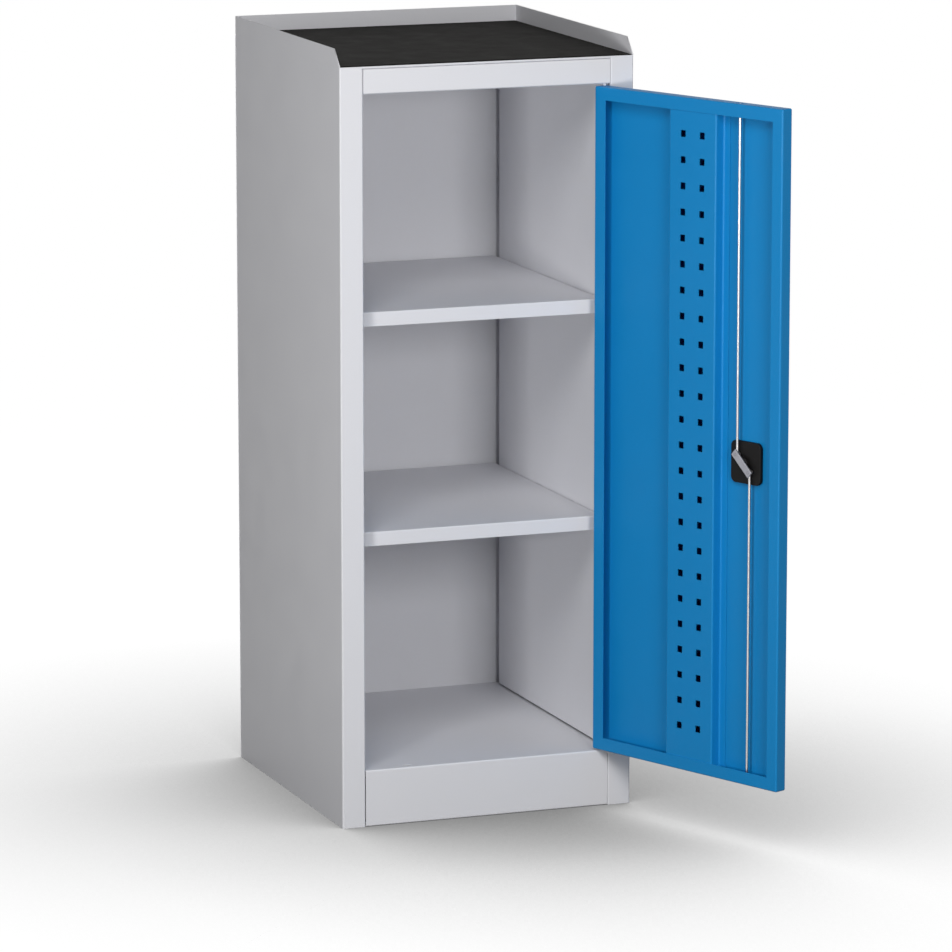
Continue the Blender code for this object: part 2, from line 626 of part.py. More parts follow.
def build_rod(name, way, turn, root, door, shell, frame):
    """Lock rod that hangs on its lever pin, with slots for its tip in the door's edge and in the frame."""
    pivot = add_empty(f"{name}_rod_pivot", turn, (0, 0, way * LEVER_ARM), (0, -LEVER_REST_ANGLE, 0))
    edge = DOOR_TOP if way > 0 else DOOR_BOTTOM
    length = abs(edge - LOCK_Z) - PIN_RISE
    profile = [(0, ROD_EYE_RADIUS / 2), (ROD_RADIUS, ROD_EYE_RADIUS / 2), (ROD_RADIUS, length - ROD_TIP_TAPER),
               (ROD_RADIUS / 2, length), (0, length)]
    rod = turned(profile, (0, 0, way), (0, ROD_DEPTH, 0))
    rod = add_object(f"{name}_rod", rod, pivot, "zinc_plated_steel")
    eye = cylinder(ROD_EYE_RADIUS, ROD_DEPTH - ROD_RADIUS, ROD_DEPTH + ROD_RADIUS, (0, 1, 0))
    combine(rod, add_object(f"join_{name}_rod_eye", eye, pivot), "UNION")
    hole = cylinder(ROD_PIN_RADIUS + SEAT, 0, ROD_DEPTH + ROD_RADIUS + CUT_EXTRA, (0, 1, 0))
    combine(rod, add_object(f"cut_{name}_rod_eye", hole, pivot))
    across = LOCK_X + way * ROD_OFFSET
    slot = rod_slot(across, ROD_DEPTH - PIVOT_DEPTH, edge - way * SHEET / 2)
    combine(shell, add_object(f"cut_{name}_door_slot", slot, door))
    keeper = rod_slot(PIVOT_X + across, ROD_DEPTH, edge + way * (DOOR_END_GAP + SHEET / 2))
    combine(frame, add_object(f"cut_{name}_frame_slot", keeper, root))


def build_door(root, top_rail, plinth):
    """Door with everything that swings with it, at its rest angle."""
    door = add_empty("door_hinge", root, (PIVOT_X, PIVOT_DEPTH, 0), (0, 0, DOOR_REST_ANGLE))
    shell = build_door_shell(door)
    build_hinge(root, door, top_rail, plinth, shell)
    build_channel(door)
    axis = build_lock_case(door, shell)
    turn = add_empty("lock_axis", axis, (0, 0, 0), (0, LEVER_REST_ANGLE, 0))
    build_knob(turn)
    build_lever(turn)
    build_rod("upper", 1, turn, root, door, shell, top_rail)
    build_rod("lower", -1, turn, root, door, shell, plinth)


def main():
    """Build the whole cabinet."""
    clear_scene()
    root = add_empty("cabinet_front", None, (0, -FOOT_DEPTH / 2, 0))
    for name, side in SIDES.items():
        build_side(name, side, root)
        build_liner(name, side, root)
    top_rail, plinth = build_frame(root)
    build_floor(root)
    build_tray(root)
    for level, top in SHELF_TOPS.items():
        build_shelf(level, top, root)
    build_door(root, top_rail, plinth)


main()
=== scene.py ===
"""Looks of a workshop cabinet of folded sheet steel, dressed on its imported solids.

Metres, +Z up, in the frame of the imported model. The cabinet faces -Y, stands on Z = 0 and has its door on
the right, open at rest. Pieces of the carcass are drawn from its front plane, those of the door from the
hinge axis with the door shut, and those of the lock from the spindle's axis.
"""

import logging
import math
from dataclasses import dataclass
from enum import Enum
from typing import Any

import bmesh
import bpy
from mathutils import Matrix, Vector


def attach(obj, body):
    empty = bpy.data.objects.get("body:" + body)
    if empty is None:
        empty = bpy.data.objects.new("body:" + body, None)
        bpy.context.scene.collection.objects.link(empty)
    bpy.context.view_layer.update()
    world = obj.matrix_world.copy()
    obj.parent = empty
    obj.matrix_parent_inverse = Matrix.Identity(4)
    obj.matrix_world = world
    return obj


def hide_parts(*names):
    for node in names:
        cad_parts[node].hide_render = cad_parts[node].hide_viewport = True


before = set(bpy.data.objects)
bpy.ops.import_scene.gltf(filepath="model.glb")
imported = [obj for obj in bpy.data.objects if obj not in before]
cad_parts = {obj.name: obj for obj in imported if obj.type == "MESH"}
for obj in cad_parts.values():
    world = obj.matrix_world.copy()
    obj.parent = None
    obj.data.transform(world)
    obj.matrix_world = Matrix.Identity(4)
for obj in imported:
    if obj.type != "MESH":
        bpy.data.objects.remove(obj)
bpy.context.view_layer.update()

LOG = logging.getLogger("cabinet")
MILLIMETRE = 0.001
Pair = tuple[float, float]
Triple = tuple[float, float, float]


def linear_colour(code: str) -> tuple[float, float, float, float]:
    """Turn an sRGB hex colour into linear values.

    Args:
        code: The colour, such as "#CDCED2".

    Returns:
        Red, green, blue and an alpha of 1.
    """
    channels = []
    for start in (1, 3, 5):
        value = int(code[start:start + 2], 16) / 255
        channels.append(value / 12.92 if value <= 0.04045 else ((value + 0.055) / 1.055) ** 2.4)
    return channels[0], channels[1], channels[2], 1.0


def add_node(tree: bpy.types.NodeTree, kind: str, settings: dict | None = None,
             links: dict | None = None) -> bpy.types.Node:
    """Add a node with its settings and its incoming links.

    Args:
        tree: The node tree that takes the node.
        kind: The node's type name.
        settings: Properties by name, or input values by name or number.
        links: Output sockets by the name or number of the input that they feed.

    Returns:
        The new node.
    """
    node = tree.nodes.new(kind)
    for key, value in (settings or {}).items():
        if isinstance(key, str) and hasattr(node, key):
            setattr(node, key, value)
        else:
            node.inputs[key].default_value = value
    for key, source in (links or {}).items():
        tree.links.new(source, node.inputs[key])
    return node


class Grain(Enum):
    """What the fine relief of a finish looks like."""

    ORANGE_PEEL = "orange_peel"
    PEBBLED = "pebbled"
    DRAWN = "drawn"


@dataclass(frozen=True)
class Finish:
    """A surface finish, from what the material is and how its surface was made.

    Tones and grain have their real sizes in millimetres. The colour and the roughness drift between two
    close values over the tone size, and the grain gives the relief. A drawn grain is longer than it is wide
    by the drawn length.
    """

    name: str
    slot: str
    colour: str
    other_colour: str
    roughness: Pair
    tone_mm: float
    grain_mm: float
    relief_mm: float
    grain: Grain = Grain.ORANGE_PEEL
    metallic: float = 0.0
    ior: float = 1.5
    specular: float = 0.5
    drawn_length: float = 40.0

    def material(self) -> bpy.types.Material:
        """Give the finish's material, made the first time that it is asked for."""
        made = bpy.data.materials.get(self.name)
        return made if made else self._make()

    def _make(self) -> bpy.types.Material:
        """Make the material's nodes.

        Returns:
            The new material.
        """
        material = bpy.data.materials.new(self.name)
        material.use_nodes = True
        tree = material.node_tree
        tree.nodes.clear()
        place = add_node(tree, "ShaderNodeTexCoord").outputs["Object"]
        tone = add_node(tree, "ShaderNodeTexNoise",
                        {"Scale": 1 / (self.tone_mm * MILLIMETRE), "Detail": 3.0, "Roughness": 0.6},
                        {"Vector": place}).outputs["Fac"]
        relief = self._relief(tree, place)
        mixed = add_node(tree, "ShaderNodeMix", {0: 0.5}, {2: tone, 3: relief}).outputs[0]
        colour = add_node(tree, "ShaderNodeMix", {"data_type": "RGBA", 6: linear_colour(self.other_colour),
                                                  7: linear_colour(self.colour)}, {0: mixed}).outputs[2]
        rough = add_node(tree, "ShaderNodeMapRange",
                         {"From Min": 0.3, "From Max": 0.7, "To Min": self.roughness[0],
                          "To Max": self.roughness[1]}, {"Value": tone}).outputs["Result"]
        bump = add_node(tree, "ShaderNodeBump", {"Strength": 1.0, "Distance": self.relief_mm * MILLIMETRE},
                        {"Height": relief}).outputs["Normal"]
        shader = add_node(tree, "ShaderNodeBsdfPrincipled",
                          {"Metallic": self.metallic, "IOR": self.ior, "Specular IOR Level": self.specular},
                          {"Base Color": colour, "Roughness": rough, "Normal": bump}).outputs["BSDF"]
        add_node(tree, "ShaderNodeOutputMaterial", None, {"Surface": shader})
        return material

    def _relief(self, tree: bpy.types.NodeTree, place: bpy.types.NodeSocket) -> bpy.types.NodeSocket:
        """Add the grain's nodes.

        Args:
            tree: The material's node tree.
            place: The surface's own coordinates.

        Returns:
            The grain's height between 0 and 1.
        """
        scale = 1 / (self.grain_mm * MILLIMETRE)
        if self.grain is Grain.PEBBLED:
            return add_node(tree, "ShaderNodeTexVoronoi",
                            {"feature": "SMOOTH_F1", "Scale": scale, "Smoothness": 0.4},
                            {"Vector": place}).outputs["Distance"]
        if self.grain is Grain.DRAWN:
            place = add_node(tree, "ShaderNodeMapping", {"Scale": (1.0, 1.0, 1 / self.drawn_length)},
                             {"Vector": place}).outputs["Vector"]
        return add_node(tree, "ShaderNodeTexNoise", {"Scale": scale, "Detail": 2.0, "Roughness": 0.5},
                        {"Vector": place}).outputs["Fac"]


# Polyester powder coat baked on steel: an even satin, with a fine orange peel that breaks up its
# highlights. The peel is about 1.5 mm across on the real coat, and it is drawn at 2.5 mm so that it shows.
LIGHT_GREY_POWDER_COAT = Finish("powder_coated_steel_light_grey", "grey_paint", "#E4E4E8", "#DFDFE3",
                                (0.42, 0.52), 60.0, 2.5, 0.02, specular=0.25)
BLUE_POWDER_COAT = Finish("powder_coated_steel_blue", "blue_paint", "#1087C8", "#0F81C1",
                          (0.38, 0.48), 60.0, 2.5, 0.02, specular=0.25)
# Calendered nitrile rubber: nearly black and dull, with a pebbled top that catches a little light.
# The pebbles are about 1 mm, drawn at 3 mm so that they show.
BLACK_RUBBER = Finish("nitrile_rubber_black", "rubber", "#1B1A18", "#121110",
                      (0.80, 0.92), 45.0, 3.0, 0.25, Grain.PEBBLED, specular=0.12)
# Glass-filled polyamide from a spark-eroded mould: black with a soft sheen.
BLACK_POLYAMIDE = Finish("moulded_polyamide_black", "black_plastic", "#111010", "#0D0C0C",
                         (0.50, 0.60), 20.0, 0.6, 0.015, ior=1.53, specular=0.15)
# Bright zinc plating on drawn wire: light, with faint lines along the wire.
BRIGHT_ZINC = Finish("zinc_plated_drawn_steel", "zinc_steel", "#CBC8C6", "#BFBCBA",
                     (0.28, 0.40), 15.0, 0.5, 0.005, Grain.DRAWN, metallic=1.0)
# Passivated zinc on stamped sheet: duller and darker than the wire.
DULL_ZINC = Finish("passivated_zinc_on_steel_sheet", "zinc_steel", "#ABABB1", "#9F9FA6",
                   (0.45, 0.58), 12.0, 0.8, 0.008, metallic=1.0)
# Nickel plating on turned brass: a warm bright metal.
BRIGHT_NICKEL = Finish("nickel_plated_brass", "nickel", "#C9C3B6", "#BDB7A9",
                       (0.18, 0.26), 6.0, 0.4, 0.003, metallic=1.0)
# Natural polyamide: milky white and slightly waxy.
WHITE_POLYAMIDE = Finish("natural_polyamide_white", "white_polyamide", "#E6E3DA", "#DDD9CE",
                         (0.45, 0.55), 5.0, 0.5, 0.01, ior=1.53)

# Solids that stay as they are, by finish
KEPT_SOLIDS = {
    LIGHT_GREY_POWDER_COAT: ("roof_panel", "rear_base_rail", "upper_hinge_pin", "lower_hinge_pin"),
    DULL_ZINC: ("upper_hinge_block", "lower_hinge_block", "lock_spindle", "upper_rod_pin", "lower_rod_pin"),
    BRIGHT_ZINC: tuple(f"{level}_{end}_{side}_shelf_peg" for level in ("upper", "lower")
                       for end in ("front", "rear") for side in ("left", "right")),
    WHITE_POLYAMIDE: ("hinge_washer",),
}

# Levels of the shelves' upper faces
SHELF_TOPS = {"upper": 0.763, "lower": 0.437}


def box_shape(low: Triple, high: Triple, shape: bmesh.types.BMesh | None = None) -> bmesh.types.BMesh:
    """Make a box between two corners, alone or added to a shape.

    Args:
        low: The lowest corner.
        high: The highest corner.
        shape: A shape that takes the box.

    Returns:
        The shape with the box.
    """
    shape = shape or bmesh.new()
    corners = bmesh.ops.create_cube(shape, size=1.0)["verts"]
    bmesh.ops.scale(shape, vec=Vector(high) - Vector(low), verts=corners)
    bmesh.ops.translate(shape, vec=(Vector(low) + Vector(high)) / 2, verts=corners)
    return shape


def surface_shape(points: list[Triple], faces: list[tuple[int, ...]]) -> bmesh.types.BMesh:
    """Make a shape from points and the faces between them.

    Args:
        points: The points.
        faces: Point numbers of each face.

    Returns:
        The shape.
    """
    shape = bmesh.new()
    corners = [shape.verts.new(point) for point in points]
    for face in faces:
        shape.faces.new([corners[number] for number in face])
    return shape


def rounded_outline(half_width: float, half_height: float, radius: float, steps: int) -> list[Pair]:
    """Draw a rectangle with round corners.

    Args:
        half_width: Half its width.
        half_height: Half its height.
        radius: Radius of the corners.
        steps: Steps in each corner.

    Returns:
        Points that run counter-clockwise.
    """
    points = []
    for quarter, (side, level) in enumerate(((1, -1), (1, 1), (-1, 1), (-1, -1))):
        for step in range(steps + 1):
            angle = math.pi / 2 * (quarter - 1 + step / steps)
            points.append((side * (half_width - radius) + radius * math.cos(angle),
                           level * (half_height - radius) + radius * math.sin(angle)))
    return points


def prism_shape(outline: list[Pair], start: float, end: float) -> bmesh.types.BMesh:
    """Extrude an outline in X and Z along Y.

    Args:
        outline: Points of the outline.
        start: Where the prism starts along Y.
        end: Where it ends.

    Returns:
        The closed shape.
    """
    shape = bmesh.new()
    near = shape.faces.new([shape.verts.new((x, start, z)) for x, z in outline])
    moved = bmesh.ops.extrude_face_region(shape, geom=[near], use_keep_orig=True)["geom"]
    corners = [item for item in moved if isinstance(item, bmesh.types.BMVert)]
    bmesh.ops.translate(shape, vec=(0, end - start, 0), verts=corners)
    bmesh.ops.recalc_face_normals(shape, faces=shape.faces)
    return shape


def turned_shape(profile: list[Pair], axis: Triple, centre: Triple = (0, 0, 0),
                 steps: int = 48) -> bmesh.types.BMesh:
    """Spin a profile that starts and ends on the axis.

    Args:
        profile: Radius and height of each point.
        axis: Direction of the axis.
        centre: A point that the axis runs through, where the height is 0.
        steps: Steps round the axis.

    Returns:
        The closed shape.
    """
    shape = bmesh.new()
    corners = [shape.verts.new((radius, 0, height)) for radius, height in profile]
    edges = [shape.edges.new(pair) for pair in zip(corners, corners[1:])]
    bmesh.ops.spin(shape, geom=corners + edges, axis=(0, 0, 1), cent=(0, 0, 0), angle=2 * math.pi,
                   steps=steps, use_merge=True)
    bmesh.ops.remove_doubles(shape, verts=shape.verts, dist=1e-6)
    bmesh.ops.recalc_face_normals(shape, faces=shape.faces)
    turn = Vector((0, 0, 1)).rotation_difference(Vector(axis)).to_matrix()
    bmesh.ops.rotate(shape, matrix=turn, cent=(0, 0, 0), verts=shape.verts)
    bmesh.ops.translate(shape, vec=centre, verts=shape.verts)
    return shape


def cylinder_shape(radius: float, start: float, end: float, axis: Triple,
                   centre: Triple = (0, 0, 0)) -> bmesh.types.BMesh:
    """Make a plain cylinder between two heights along an axis through a centre."""
    return turned_shape([(0, start), (radius, start), (radius, end), (0, end)], axis, centre)


def add_piece(name: str, shape: bmesh.types.BMesh, place: Matrix) -> bpy.types.Object:
    """Make an object from a shape.

    Args:
        name: The object's name.
        shape: The shape, which is used up.
        place: Where the shape's own axes lie.

    Returns:
        The new object.
    """
    mesh = bpy.data.meshes.new(name)
    shape.to_mesh(mesh)
    shape.free()
    piece = bpy.data.objects.new(name, mesh)
    bpy.context.scene.collection.objects.link(piece)
    piece.matrix_world = place
    return piece


def add_modifier(piece: bpy.types.Object, kind: str, **settings: Any) -> bpy.types.Object:
    """Put a modifier on a piece.

    Args:
        piece: The piece.
        kind: The modifier's type name.
        settings: The modifier's values.

    Returns:
        The same piece.
    """
    modifier = piece.modifiers.new(kind.title(), kind)
    for key, value in settings.items():
        setattr(modifier, key, value)
    return piece


def soften(piece: bpy.types.Object, width: float, steps: int = 3,
           least_angle: float = 40.0) -> bpy.types.Object:
    """Round the edges of a piece that are sharper than an angle in degrees."""
    return add_modifier(piece, "BEVEL", width=width, segments=steps, limit_method="ANGLE",
                        angle_limit=math.radians(least_angle), use_clamp_overlap=True)


def settle(piece: bpy.types.Object, sharp_angle: float = 50.0) -> bpy.types.Object:
    """Turn a piece's modifiers into its mesh, and shade it smooth up to an angle.

    Args:
        piece: The piece.
        sharp_angle: Edges over this many degrees stay sharp.

    Returns:
        The same piece.
    """
    view = bpy.context.evaluated_depsgraph_get()
    mesh = bpy.data.meshes.new_from_object(piece.evaluated_get(view))
    old = piece.data
    piece.modifiers.clear()
    piece.data = mesh
    bpy.data.meshes.remove(old)
    mesh.name = piece.name
    mesh.shade_smooth()
    mesh.set_sharp_from_angle(angle=math.radians(sharp_angle))
    return add_modifier(piece, "WEIGHTED_NORMAL", weight=80, keep_sharp=True)


def cut_and_settle(piece: bpy.types.Object, cutters: list[bpy.types.Object],
                   joined: tuple[bpy.types.Object, ...] = ()) -> bpy.types.Object:
    """Join objects to a piece, cut others out of it, settle it and remove them.

    Args:
        piece: The piece.
        cutters: The objects that are cut out.
        joined: The objects that become part of the piece before that.

    Returns:
        The same piece.
    """
    for other in joined:
        add_modifier(piece, "BOOLEAN", operation="UNION", solver="EXACT", object=other)
    for cutter in cutters:
        add_modifier(piece, "BOOLEAN", operation="DIFFERENCE", solver="EXACT", object=cutter)
    settle(piece)
    for used in (*joined, *cutters):
        bpy.data.objects.remove(used, do_unlink=True)
    return piece


def dress(piece: bpy.types.Object, body: str, finish: Finish, nodes: tuple[str, ...]) -> None:
    """Give a piece its finish and put it in place of solids.

    Args:
        piece: The piece.
        body: The body that it moves with.
        finish: Its finish.
        nodes: The solids that it stands for.
    """
    piece.data.materials.clear()
    piece.data.materials.append(finish.material())
    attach(piece, body)
    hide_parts(*nodes)
    LOG.info("%s rides on %s in %s", piece.name, body, finish.name)


class Sweep(Enum):
    """The axis that a folded strip runs along."""

    X = "x"
    Y = "y"
    Z = "z"

    def point(self, across: float, up: float, along: float) -> Triple:
        """Place a point of the strip's section at a distance along its axis.

        Args:
            across: The point's first place in the section.
            up: Its second place in the section.
            along: The distance along the axis.

        Returns:
            The point.
        """
        if self is Sweep.X:
            return along, across, up
        if self is Sweep.Y:
            return up, along, across
        return across, up, along


@dataclass(frozen=True)
class SheetMetal:
    """Folded sheet: wall, outer bend radius, and the rounding that paint gives the cut edges."""

    wall: float = 0.001
    bend: float = 0.0025
    edge: float = 0.00025
    bend_steps: int = 6

    def section(self, path: list[Pair]) -> list[tuple[Vector, Vector]]:
        """Round the corners of a folded path and give it its wall.

        Args:
            path: Corners of the outer side, with the wall on the left.

        Returns:
            Pairs of an outer and an inner point.
        """
        corners = [Vector(point) for point in path]
        ways = [(after - before).normalized() for before, after in zip(corners, corners[1:])]
        pairs = [self._wall_at(corners[0], ways[0])]
        for corner, way_in, way_out in zip(corners[1:], ways, ways[1:]):
            turn = math.atan2(way_in.x * way_out.y - way_in.y * way_out.x, way_in.dot(way_out))
            start = corner - way_in * self.bend * abs(math.tan(turn / 2))
            side = math.copysign(1.0, turn)
            left = Vector((-way_in.y, way_in.x))
            centre = start + left * side * self.bend
            for step in range(self.bend_steps + 1):
                swing = Matrix.Rotation(turn * step / self.bend_steps, 2)
                pairs.append(self._wall_at(centre - swing @ (left * side * self.bend), swing @ way_in))
        pairs.append(self._wall_at(corners[-1], ways[-1]))
        return pairs

    def _wall_at(self, point: Vector, way: Vector) -> tuple[Vector, Vector]:
        """Give an outer point and the inner point across the wall from it."""
        return point, point + Vector((-way.y, way.x)) * self.wall

    def strip(self, name: str, path: list[Pair], sweep: Sweep, start: float, end: float,
              place: Matrix) -> bpy.types.Object:
        """Fold a strip of sheet.

        Args:
            name: The piece's name.
            path: Corners of the section's outer side, with the wall on the left.
            sweep: The axis that the strip runs along.
            start: Where it starts on that axis.
            end: Where it ends.
            place: Where the strip's own axes lie.

        Returns:
            The piece, with its cut edges still to be rounded.
        """
        pairs = self.section(path)
        points = [sweep.point(*side, along) for along in (start, end) for pair in pairs for side in pair]
        far = 2 * len(pairs)
        faces = [(0, far, far + 1, 1), (far - 2, far - 1, 2 * far - 1, 2 * far - 2)]
        for number in range(0, far - 2, 2):
            faces.append((number, number + 2, far + number + 2, far + number))
            faces.append((number + 1, far + number + 1, far + number + 3, number + 3))
            faces.append((number, number + 1, number + 3, number + 2))
            faces.append((far + number, far + number + 2, far + number + 3, far + number + 1))
        shape = surface_shape(points, faces)
        bmesh.ops.recalc_face_normals(shape, faces=shape.faces)
        return add_piece(name, shape, place)

    def pan(self, name: str, points: list[Triple], faces: list[tuple[int, ...]],
            place: Matrix) -> bpy.types.Object:
        """Fold a pan from the faces of its outer side.

        Args:
            name: The piece's name.
            points: The corners.
            faces: Point numbers of each face, seen from outside.
            place: Where the pan's own axes lie.

        Returns:
            The piece, with its cut edges still to be rounded.
        """
        piece = add_piece(name, surface_shape(points, faces), place)
        add_modifier(piece, "BEVEL", width=self.bend, segments=self.bend_steps, limit_method="ANGLE",
                     angle_limit=math.radians(40.0))
        return add_modifier(piece, "SOLIDIFY", thickness=self.wall, offset=-1.0, use_even_offset=True)

    def round_edges(self, piece: bpy.types.Object) -> bpy.types.Object:
        """Round the cut edges as paint does."""
        return soften(piece, self.edge, 2, 60.0)


@dataclass(frozen=True)
class Carcass:
    """Welded carcass: side panels with the stiles, inner walls, rail, plinth, floor and back."""

    width: float = 0.455
    depth: float = 0.480
    front: float = -0.0125
    top: float = 1.1212
    stile: float = 0.036
    rail_bottom: float = 1.0846
    rail_flange: float = 0.030
    plinth: float = 0.085
    foot: float = 0.025
    jamb: float = 0.022
    rear_return: float = 0.015
    weld_flange: float = 0.015
    liner_rear_gap: float = 0.0195
    liner_floor_gap: float = 0.003
    floor_lap: float = 0.010
    seat: float = 0.0003
    seam: float = 0.0004
    # Paint that closes seams: from the sides up to the tray, and from the floor over the plinth's flange
    side_fill: float = 0.0012
    floor_fill: float = 0.006
    floor_paint: float = 0.00005
    keeper_half_width: float = 0.0066
    keeper_half_depth: float = 0.0025
    metal: SheetMetal = SheetMetal()
    finish: Finish = LIGHT_GREY_POWDER_COAT

    @property
    def place(self) -> Matrix:
        """Where the carcass's own axes lie: on the floor, in its front plane."""
        return Matrix.Translation((0, self.front, 0))

    @property
    def opening(self) -> float:
        """Half the width between the stiles."""
        return self.width / 2 - self.stile

    @property
    def side_rear(self) -> float:
        """Where the side panels end, in front of the back panel."""
        return self.depth - self.metal.wall - self.seat

    def build(self, pins: Pair, rods: tuple[Pair, Pair], pin_radius: float) -> None:
        """Build and dress every sheet of the carcass.

        Args:
            pins: The hinge pins' place, across and behind the front plane.
            rods: Where the upper and the lower rod enter the frame, across and behind the front plane.
            pin_radius: Radius of the hinge pins.
        """
        for name, side in (("left", -1), ("right", 1)):
            self._side(name, side)
            self._liner(name, side)
        self._crossings(pins, rods, pin_radius)
        self._floor_and_back()

    def pin_and_rod_cutters(self, pin: Pair, rod: Pair, level: float, pin_radius: float,
                            place: Matrix) -> list[bpy.types.Object]:
        """Make what cuts a pin hole and a rod slot through a sheet that lies level.

        Args:
            pin: The pin's place.
            rod: The rod's place.
            level: The sheet's level.
            pin_radius: Radius of the pin.
            place: The axes that these places are measured in.

        Returns:
            The two cutters.
        """
        tall = 4 * self.metal.wall
        hole = cylinder_shape(pin_radius + self.seat, -tall, tall, (0, 0, 1), (*pin, level))
        low = (rod[0] - self.keeper_half_width, rod[1] - self.keeper_half_depth, level - tall)
        high = (rod[0] + self.keeper_half_width, rod[1] + self.keeper_half_depth, level + tall)
        return [add_piece("pin_hole", hole, place), add_piece("rod_slot", box_shape(low, high), place)]

    def _finish(self, piece: bpy.types.Object, node: str,
                cutters: list[bpy.types.Object] | None = None) -> None:
        """Round a sheet's cut edges, cut it and dress it in place of a solid."""
        cut_and_settle(self.metal.round_edges(piece), cutters or [])
        dress(piece, "carcass", self.finish, (node,))

    def _side(self, name: str, side: int) -> None:
        """Fold a side panel round to its stile and jamb, and to a return behind.

        Args:
            name: The side's name.
            side: -1 for the left side, 1 for the right one.
        """
        outer = side * self.width / 2
        path = [(outer - side * self.rear_return, self.side_rear), (outer, self.side_rear), (outer, 0),
                (side * self.opening, 0), (side * self.opening, self.jamb)]
        if side > 0:
            path.reverse()
        top = self.top + self.side_fill
        self._finish(self.metal.strip(f"{name}_side_sheet", path, Sweep.Z, 0, top, self.place),
                     f"{name}_side_panel")

    def _liner(self, name: str, side: int) -> None:
        """Fold an inner wall, level with the stile's edge, that ends just above the floor.

        Args:
            name: The side's name.
            side: -1 for the left side, 1 for the right one.
        """
        wall = side * (self.width / 2 - self.metal.wall - self.seat)
        front = self.jamb + self.seat
        rear = self.depth - self.liner_rear_gap
        path = [(wall, front), (side * self.opening, front), (side * self.opening, rear), (wall, rear)]
        if side > 0:
            path.reverse()
        low = self.plinth + self.liner_floor_gap
        top = self.top - self.weld_flange - self.seat
        self._finish(self.metal.strip(f"{name}_inner_sheet", path, Sweep.Z, low, top, self.place),
                     f"{name}_inner_panel")

    def _crossings(self, pins: Pair, rods: tuple[Pair, Pair], pin_radius: float) -> None:
        """Fold the top rail and the plinth, with a hole for a hinge pin and a slot for a rod in each.

        Args:
            pins: The hinge pins' place.
            rods: The places of the upper and the lower rod.
            pin_radius: Radius of the hinge pins.
        """
        rail = [(self.rail_flange, self.top), (0, self.top), (0, self.rail_bottom),
                (self.jamb, self.rail_bottom)]
        foot = [(self.jamb, self.plinth - self.weld_flange), (self.jamb, self.plinth), (0, self.plinth),
                (0, 0), (self.foot, 0)]
        half = self.opening - self.seam
        for node, path, level, rod in (("top_rail", rail, self.rail_bottom, rods[0]),
                                       ("plinth", foot, self.plinth, rods[1])):
            piece = self.metal.strip(f"{node}_sheet", path, Sweep.X, -half, half, self.place)
            self._finish(piece, node, self.pin_and_rod_cutters(pins, rod, level, pin_radius, self.place))

    def _floor_and_back(self) -> None:
        """Fold the floor, which reaches under the inner walls, and lay the back sheet on."""
        half = self.opening + self.floor_lap
        tongue = self.opening - self.seam
        front = self.jamb + self.seat
        edge = front - self.floor_fill
        rear = self.side_rear
        level = self.plinth + self.floor_paint
        low = level - self.weld_flange
        points = [(-half, front, level), (-tongue, front, level), (-tongue, edge, level),
                  (tongue, edge, level), (tongue, front, level), (half, front, level),
                  (half, rear, level), (-half, rear, level),
                  (-half, front, low), (half, front, low), (half, rear, low), (-half, rear, low)]
        faces = [tuple(range(8)), (5, 9, 10, 6), (7, 11, 8, 0)]
        self._finish(self.metal.pan("floor_sheet", points, faces, self.place), "floor_panel")
        back = box_shape((-self.width / 2, self.depth - self.metal.wall, 0),
                         (self.width / 2, self.depth, self.top))
        self._finish(add_piece("back_sheet", back, self.place), "back_panel")


@dataclass(frozen=True)
class TopTray:
    """Tray on top, with upstands that slope down to a low front lip, and the mat that lies in it."""

    carcass: Carcass
    bottom: float = 1.1215
    top: float = 1.150
    slope: float = 0.024
    lip: float = 0.0034
    mat: float = 0.003
    mat_margin: float = 0.0015
    mat_edge: float = 0.0006
    metal: SheetMetal = SheetMetal(0.0015, 0.0016, 0.0002, 4)

    def build(self) -> None:
        """Build and dress the tray and the mat."""
        half = self.carcass.width / 2
        depth = self.carcass.depth
        lip = self.bottom + self.lip
        points = [(-half, 0, self.bottom), (half, 0, self.bottom), (half, depth, self.bottom),
                  (-half, depth, self.bottom), (-half, 0, lip), (half, 0, lip), (half, depth, self.top),
                  (-half, depth, self.top), (-half, self.slope, self.top), (half, self.slope, self.top)]
        faces = [(3, 2, 1, 0), (0, 1, 5, 4), (1, 2, 6, 9, 5), (2, 3, 7, 6), (3, 0, 4, 8, 7)]
        tray = self.metal.pan("tray_sheet", points, faces, self.carcass.place)
        dress(settle(self.metal.round_edges(tray)), "carcass", LIGHT_GREY_POWDER_COAT, ("top_tray",))
        edge = self.metal.wall + self.mat_margin
        seat = self.bottom + self.metal.wall + self.carcass.seat
        mat = box_shape((-half + edge, edge, seat), (half - edge, depth - edge, seat + self.mat))
        mat = settle(soften(add_piece("tray_mat", mat, self.carcass.place), self.mat_edge))
        dress(mat, "carcass", BLACK_RUBBER, ("rubber_mat",))


